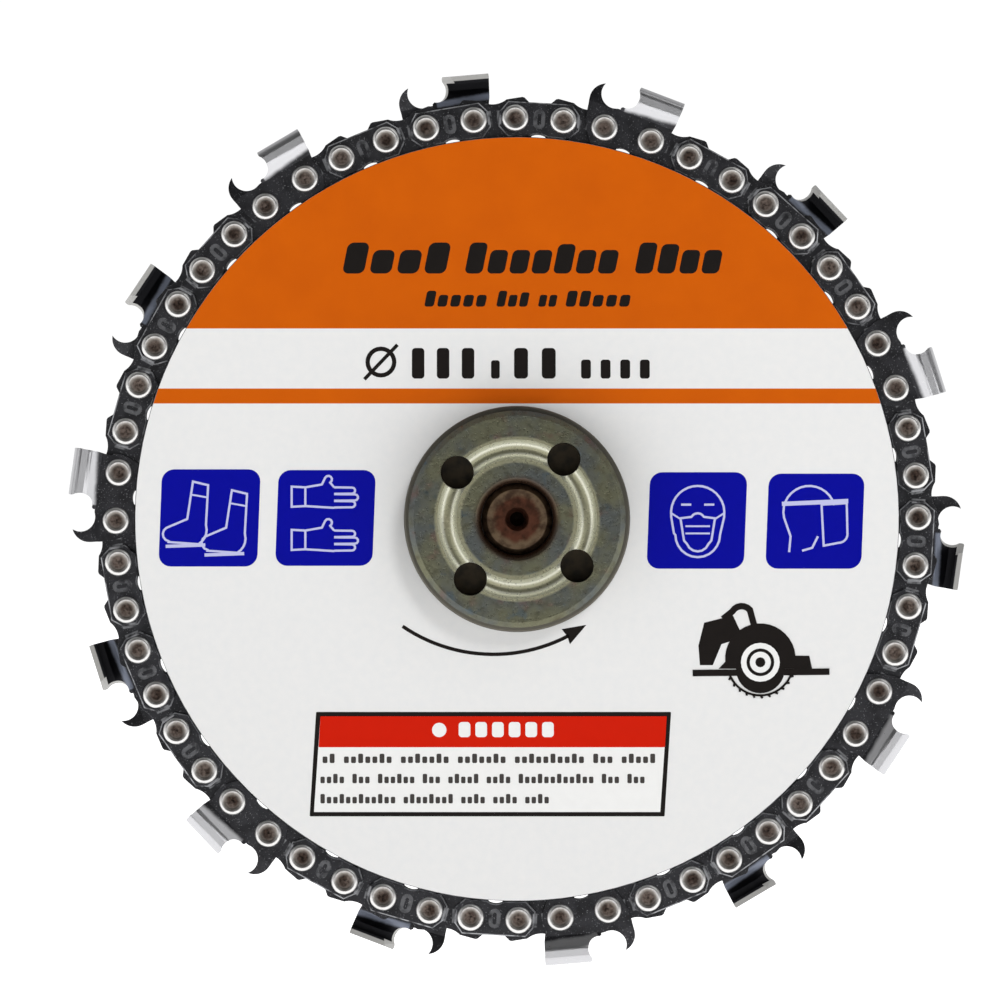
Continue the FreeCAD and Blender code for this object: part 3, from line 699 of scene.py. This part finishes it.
def mask_mark(x, z):
    """A plain head with a dust mask."""
    lines = Print("mark_mask", "pale", 2)
    lines.ribbon(arc(x, z + 0.9, 3.7, -8, 188, 18), LINE)
    jaw = arc(x, z - 2.2, 3.1, 180, 360, 12)
    lines.ribbon([(x - 3.7, z + 0.4), (x - 3.3, z - 2.0), *jaw, (x + 3.7, z + 0.4)], LINE)
    mask_top, mask_foot = arc(x, z - 0.2, 1.0, 150, 30, 6), arc(x, z - 2.9, 1.6, -20, -160, 6)
    lines.ribbon([(x - 2.4, z + 0.1), *mask_top, (x + 2.4, z + 0.1), (x + 1.9, z - 3.0), *mask_foot,
                  (x - 1.9, z - 3.0)], LINE, closed=True)
    for pleat in (z - 1.0, z - 2.0):
        lines.ribbon([(x - 1.7, pleat), (x + 1.7, pleat)], FINE)
    for side in (-1, 1):
        lines.ribbon([(x + side * 2.4, z), (x + side * 3.8, z + 0.9)], FINE)
        lines.ribbon([(x + side * 0.9, z + 2.0), (x + side * 2.3, z + 2.0)], LINE)
    lines.done()


def visor_mark(x, z):
    """A plain head in profile behind a clear face shield."""
    lines = Print("mark_visor", "pale", 2)
    lines.ribbon(arc(x - 0.8, z + 0.8, 3.6, 15, 205, 16), LINE)
    lines.ribbon([(x - 4.1, z - 0.6), (x - 3.4, z - 2.6), (x - 3.6, z - 4.8)], LINE)
    lines.ribbon([(x - 4.6, z + 1.9), (x + 4.6, z + 2.3)], 2 * LINE)
    corner = arc(x + 3.3, z - 2.3, 1.2, 0, -90, 6)
    lines.ribbon([(x + 0.9, z + 1.8), (x + 4.4, z + 2.0), *corner, (x + 1.2, z - 3.9)], LINE, closed=True)
    lines.ribbon([(x + 0.4, z - 2.6), (x - 0.4, z - 4.2), (x - 1.8, z - 4.6)], LINE)
    lines.done()


def tool_mark():
    """A plain hand-held disc cutter: motor, bow grip, guard, base and toothed blade."""
    x, z = 33.8, -19.9  # the blade's middle
    base_top, base_z, left, right = -20.8, -21.4, 24.4, 43.4
    hub = Print("mark_tool_motor", "black")
    hub.polygon([(25.2, -17.6), (26.0, -14.4), (30.0, -13.4), (31.4, -16.4), (28.4, -17.4), (27.2, -20.3),
                 (25.4, -20.3)])
    hub.done()
    grip = Print("mark_tool_grip", "black", 2)
    grip.ribbon([(28.6, -13.9), *arc(31.2, -13.6, 1.5, 150, 40, 6), (33.0, -15.0)], 3 * LINE)
    grip.done()
    guard = Print("mark_tool_guard", "black", 3)
    guard.polygon([*arc(x, -19.4, 4.9, 185, 5, 18), (40.6, -19.0), (41.0, base_top), (28.0, base_top)])
    guard.polygon(arc(x, base_top, 3.4, 180, 360, 18))
    guard.done()
    base = Print("mark_tool_base", "black", 4)
    base.ribbon([(left, base_z), (right, base_z + 0.2)], 3 * LINE)
    base.done()
    Print("mark_tool_gap", "white", 5).polygon(circle(x, z, 2.7)).done()
    tool_blade(x, z)


def tool_blade(x, z):
    """The disc cutter's blade: a ring and a middle, and a rim with eleven teeth under the base."""
    rim_r, first_deg, step_deg, tooth_l, rake = 4.6, 206, 12.8, 0.5, 0.7
    blade = Print("mark_tool_blade", "black", 6)
    blade.ribbon(circle(x, z, 1.7), BOLD, closed=True)
    blade.polygon(circle(x, z, 0.7, 12))
    blade.ribbon(arc(x, z, rim_r, 200, 340, 22), LINE)
    for tooth in range(11):
        turn = math.radians(first_deg + tooth * step_deg)
        root = (x + rim_r * math.cos(turn), z + rim_r * math.sin(turn))
        tip = (root[0] + tooth_l * math.cos(turn + rake), root[1] + tooth_l * math.sin(turn + rake))
        blade.ribbon([root, tip], LINE)
    blade.done()


def circle_through(a, b, c):
    """Centre and radius of the circle through three points."""
    (ax, az), (bx, bz), (cx, cz) = a, b, c
    sa, sb, sc = ax**2 + az**2, bx**2 + bz**2, cx**2 + cz**2
    double = 2 * (ax * (bz - cz) + bx * (cz - az) + cx * (az - bz))
    x = (sa * (bz - cz) + sb * (cz - az) + sc * (az - bz)) / double
    z = (sa * (cx - bx) + sb * (ax - cx) + sc * (bx - ax)) / double
    return x, z, math.hypot(ax - x, az - z)


def turn_arrow():
    """Curved arrow under the nut, showing which way the disc turns."""
    tail, middle, neck = (-15.9, -14.9), (-3.4, -18.8), (7.2, -16.2)
    x, z, radius = circle_through(tail, middle, neck)
    start, end = (math.degrees(math.atan2(pz - z, px - x)) for px, pz in (tail, neck))
    arrow = Print("turn_arrow", "black")
    arrow.ribbon(arc(x, z, radius, start, end, 24), 0.5)
    arrow.polygon([(6.2, -15.3), (9.65, -14.7), (7.35, -17.4), (7.0, -16.3)])
    arrow.done()


def label_marks():
    """Four blue tiles with their pictograms, the disc cutter and the arrow."""
    tile("tile_boots", -49.3, -35.6, -6.6, 6.9)
    tile("tile_gloves", -33.1, -19.6, -6.5, 6.8)
    tile("tile_mask", 18.5, 32.0, -6.9, 6.5)
    tile("tile_visor", 35.0, 48.3, -6.9, 6.3)
    boots_mark(-42.6, 0.2)
    gloves_mark(-26.5, 0.2)
    mask_mark(25.1, 0.0)
    visor_mark(41.4, 0.2)
    tool_mark()
    turn_arrow()


# ---- CAD nodes: soft edges and materials
SOFT_EDGE = 0.06 * MM
SHARP_DEG = 35  # an edge that turns by more is rounded
SAME_POINT = 1e-6


def soften(node):
    """Rounds a CAD node's sharp edges with modifiers, leaving its mesh alone."""
    piece = NODES[node]
    weld = piece.modifiers.new("weld", "WELD")
    weld.merge_threshold = SAME_POINT
    bevel = piece.modifiers.new("bevel", "BEVEL")
    bevel.width = SOFT_EDGE
    bevel.segments = 2
    bevel.limit_method = "ANGLE"
    bevel.angle_limit = math.radians(SHARP_DEG)
    bevel.use_clamp_overlap = True
    bevel.harden_normals = True
    even = piece.modifiers.new("even", "WEIGHTED_NORMAL")
    even.keep_sharp = True


def paint(node, material):
    slots = NODES[node].data.materials
    slots.clear()
    slots.append(material)


def disc_materials():
    """Materials of the nodes inside the chain, by node."""
    plate = ground_plate()
    return {
        "front_plate": plate,
        "back_plate": plate,
        "spacer_plate": plate,
        "plate_rivets": turned_steel("plate_rivet_steel", linear(150, 150, 153), linear(112, 112, 117),
                                     0.28, 0.45),
        "front_label": label_film(),
        "flange_nut": zinc_plate(),
        "clamp_washer": washer_steel(),
        "inner_flange": turned_steel("flange_steel", linear(126, 128, 132), linear(104, 105, 109), 0.3, 0.45),
        "reducer_ring": turned_steel("ring_steel", linear(190, 190, 194), linear(160, 160, 164), 0.25, 0.4),
        "spindle": spindle_steel(),
    }


def dress():
    """Gives every CAD node its material, and soft edges to all but the film and the peened heads."""
    chosen = disc_materials()
    front, back = cutter_steel("cutter_front", -1), cutter_steel("cutter_back", 1)
    link, rivet = link_steel(), rivet_steel()
    for node in NODES:
        numbered = node[-1].isdigit()
        if node.startswith("front_cutter") and numbered:
            chosen[node] = front
        elif node.startswith("back_cutter") and numbered:
            chosen[node] = back
        elif node == "chain_rivets":
            chosen[node] = rivet
        elif node not in chosen:
            chosen[node] = link
        paint(node, chosen[node])
        if node not in ("front_label", "chain_rivets"):
            soften(node)


# ---- Studio
VIEW_W = 138.9 * MM  # what the picture takes in, across the label
AIM_X, AIM_Z = -2.36 * MM, 2.64 * MM
DISTANCE = 1.1  # from the camera to the label
FLOOR_Z = -0.076  # below the lowest cutter
FLOOR_R = 6.0
FLOOR_GLOW = 0.9


def floor_white():
    material = bpy.data.materials.new("floor_white")
    material.use_nodes = True
    bsdf = material.node_tree.nodes["Principled BSDF"]
    bsdf.inputs["Base Color"].default_value = (0.86, 0.86, 0.87, 1)
    bsdf.inputs["Roughness"].default_value = 0.9
    bsdf.inputs["Emission Color"].default_value = (1, 1, 1, 1)
    bsdf.inputs["Emission Strength"].default_value = FLOOR_GLOW
    return material


def floor():
    mesh = bmesh.new()
    bmesh.ops.create_circle(mesh, cap_ends=True, segments=96, radius=FLOOR_R)
    data = bpy.data.meshes.new("floor")
    mesh.to_mesh(data)
    mesh.free()
    piece = bpy.data.objects.new("floor", data)
    piece.location = (0, 0, FLOOR_Z)
    bpy.context.scene.collection.objects.link(piece)
    data.materials.append(floor_white())


def softbox(name, place, size, power, mirrored=True):
    """A soft light that aims at the origin. One that isn't mirrored doesn't show in the metal."""
    light = bpy.data.lights.new(name, "AREA")
    light.shape = "RECTANGLE"
    light.size, light.size_y = size
    light.energy = power
    lamp = bpy.data.objects.new(name, light)
    lamp.location = place
    lamp.rotation_euler = (-Vector(place)).to_track_quat("-Z", "Y").to_euler()
    lamp.visible_camera = False
    lamp.visible_glossy = mirrored
    bpy.context.scene.collection.objects.link(lamp)


def room():
    """A pale room, darker on the label's side and overhead, as a studio is."""
    world = bpy.data.worlds.new("room")
    world.use_nodes = True
    tree = world.node_tree
    background = tree.nodes["Background"]
    coords = tree.nodes.new("ShaderNodeTexCoord")
    split = tree.nodes.new("ShaderNodeSeparateXYZ")
    tree.links.new(coords.outputs["Generated"], split.inputs[0])

    def ramp(axis, start, end, low, high):
        made = tree.nodes.new("ShaderNodeMapRange")
        made.interpolation_type = "SMOOTHSTEP"
        for value, socket in zip((start, end, low, high), list(made.inputs)[1:5]):
            socket.default_value = value
        tree.links.new(split.outputs[axis], made.inputs["Value"])
        return made.outputs[0]

    def joined(operation, first, second):
        made = tree.nodes.new("ShaderNodeMath")
        made.operation = operation
        tree.links.new(first, made.inputs[0])
        tree.links.new(second, made.inputs[1])
        return made.outputs[0]

    dark_patch = ramp("Y", -0.90, -0.45, 0.07, 0.32)
    behind = ramp("Y", -0.35, 0.05, 0.0, 0.72)
    overhead = ramp("Z", 0.12, 0.80, 1.0, 0.55)
    strength = joined("MULTIPLY", joined("ADD", dark_patch, behind), overhead)
    tree.links.new(strength, background.inputs["Strength"])
    background.inputs["Color"].default_value = (1, 1, 1, 1)
    bpy.context.scene.world = world


def camera():
    """Looks straight at the label, level with the spindle."""
    lens = bpy.data.cameras.new("camera")
    lens.sensor_width = 36
    lens.lens = lens.sensor_width * DISTANCE / VIEW_W
    lens.clip_start, lens.clip_end = 0.05, 20
    holder = bpy.data.objects.new("camera", lens)
    holder.location = (AIM_X, LABEL_FACE - DISTANCE, AIM_Z)
    holder.rotation_euler = (math.pi / 2, 0, 0)
    bpy.context.scene.collection.objects.link(holder)
    bpy.context.scene.camera = holder


def studio():
    floor()
    room()
    softbox("key", (0.30, -0.85, 0.42), (0.22, 0.22), 2.5, mirrored=False)
    softbox("side", (0.5, -0.55, 0.65), (0.5, 0.5), 0.8)
    softbox("fill", (-0.7, -0.5, 0.1), (0.4, 0.7), 0.5)
    camera()
    bpy.context.scene.view_settings.view_transform = "Standard"


dress()
label_text()
info_panel()
label_marks()
studio()
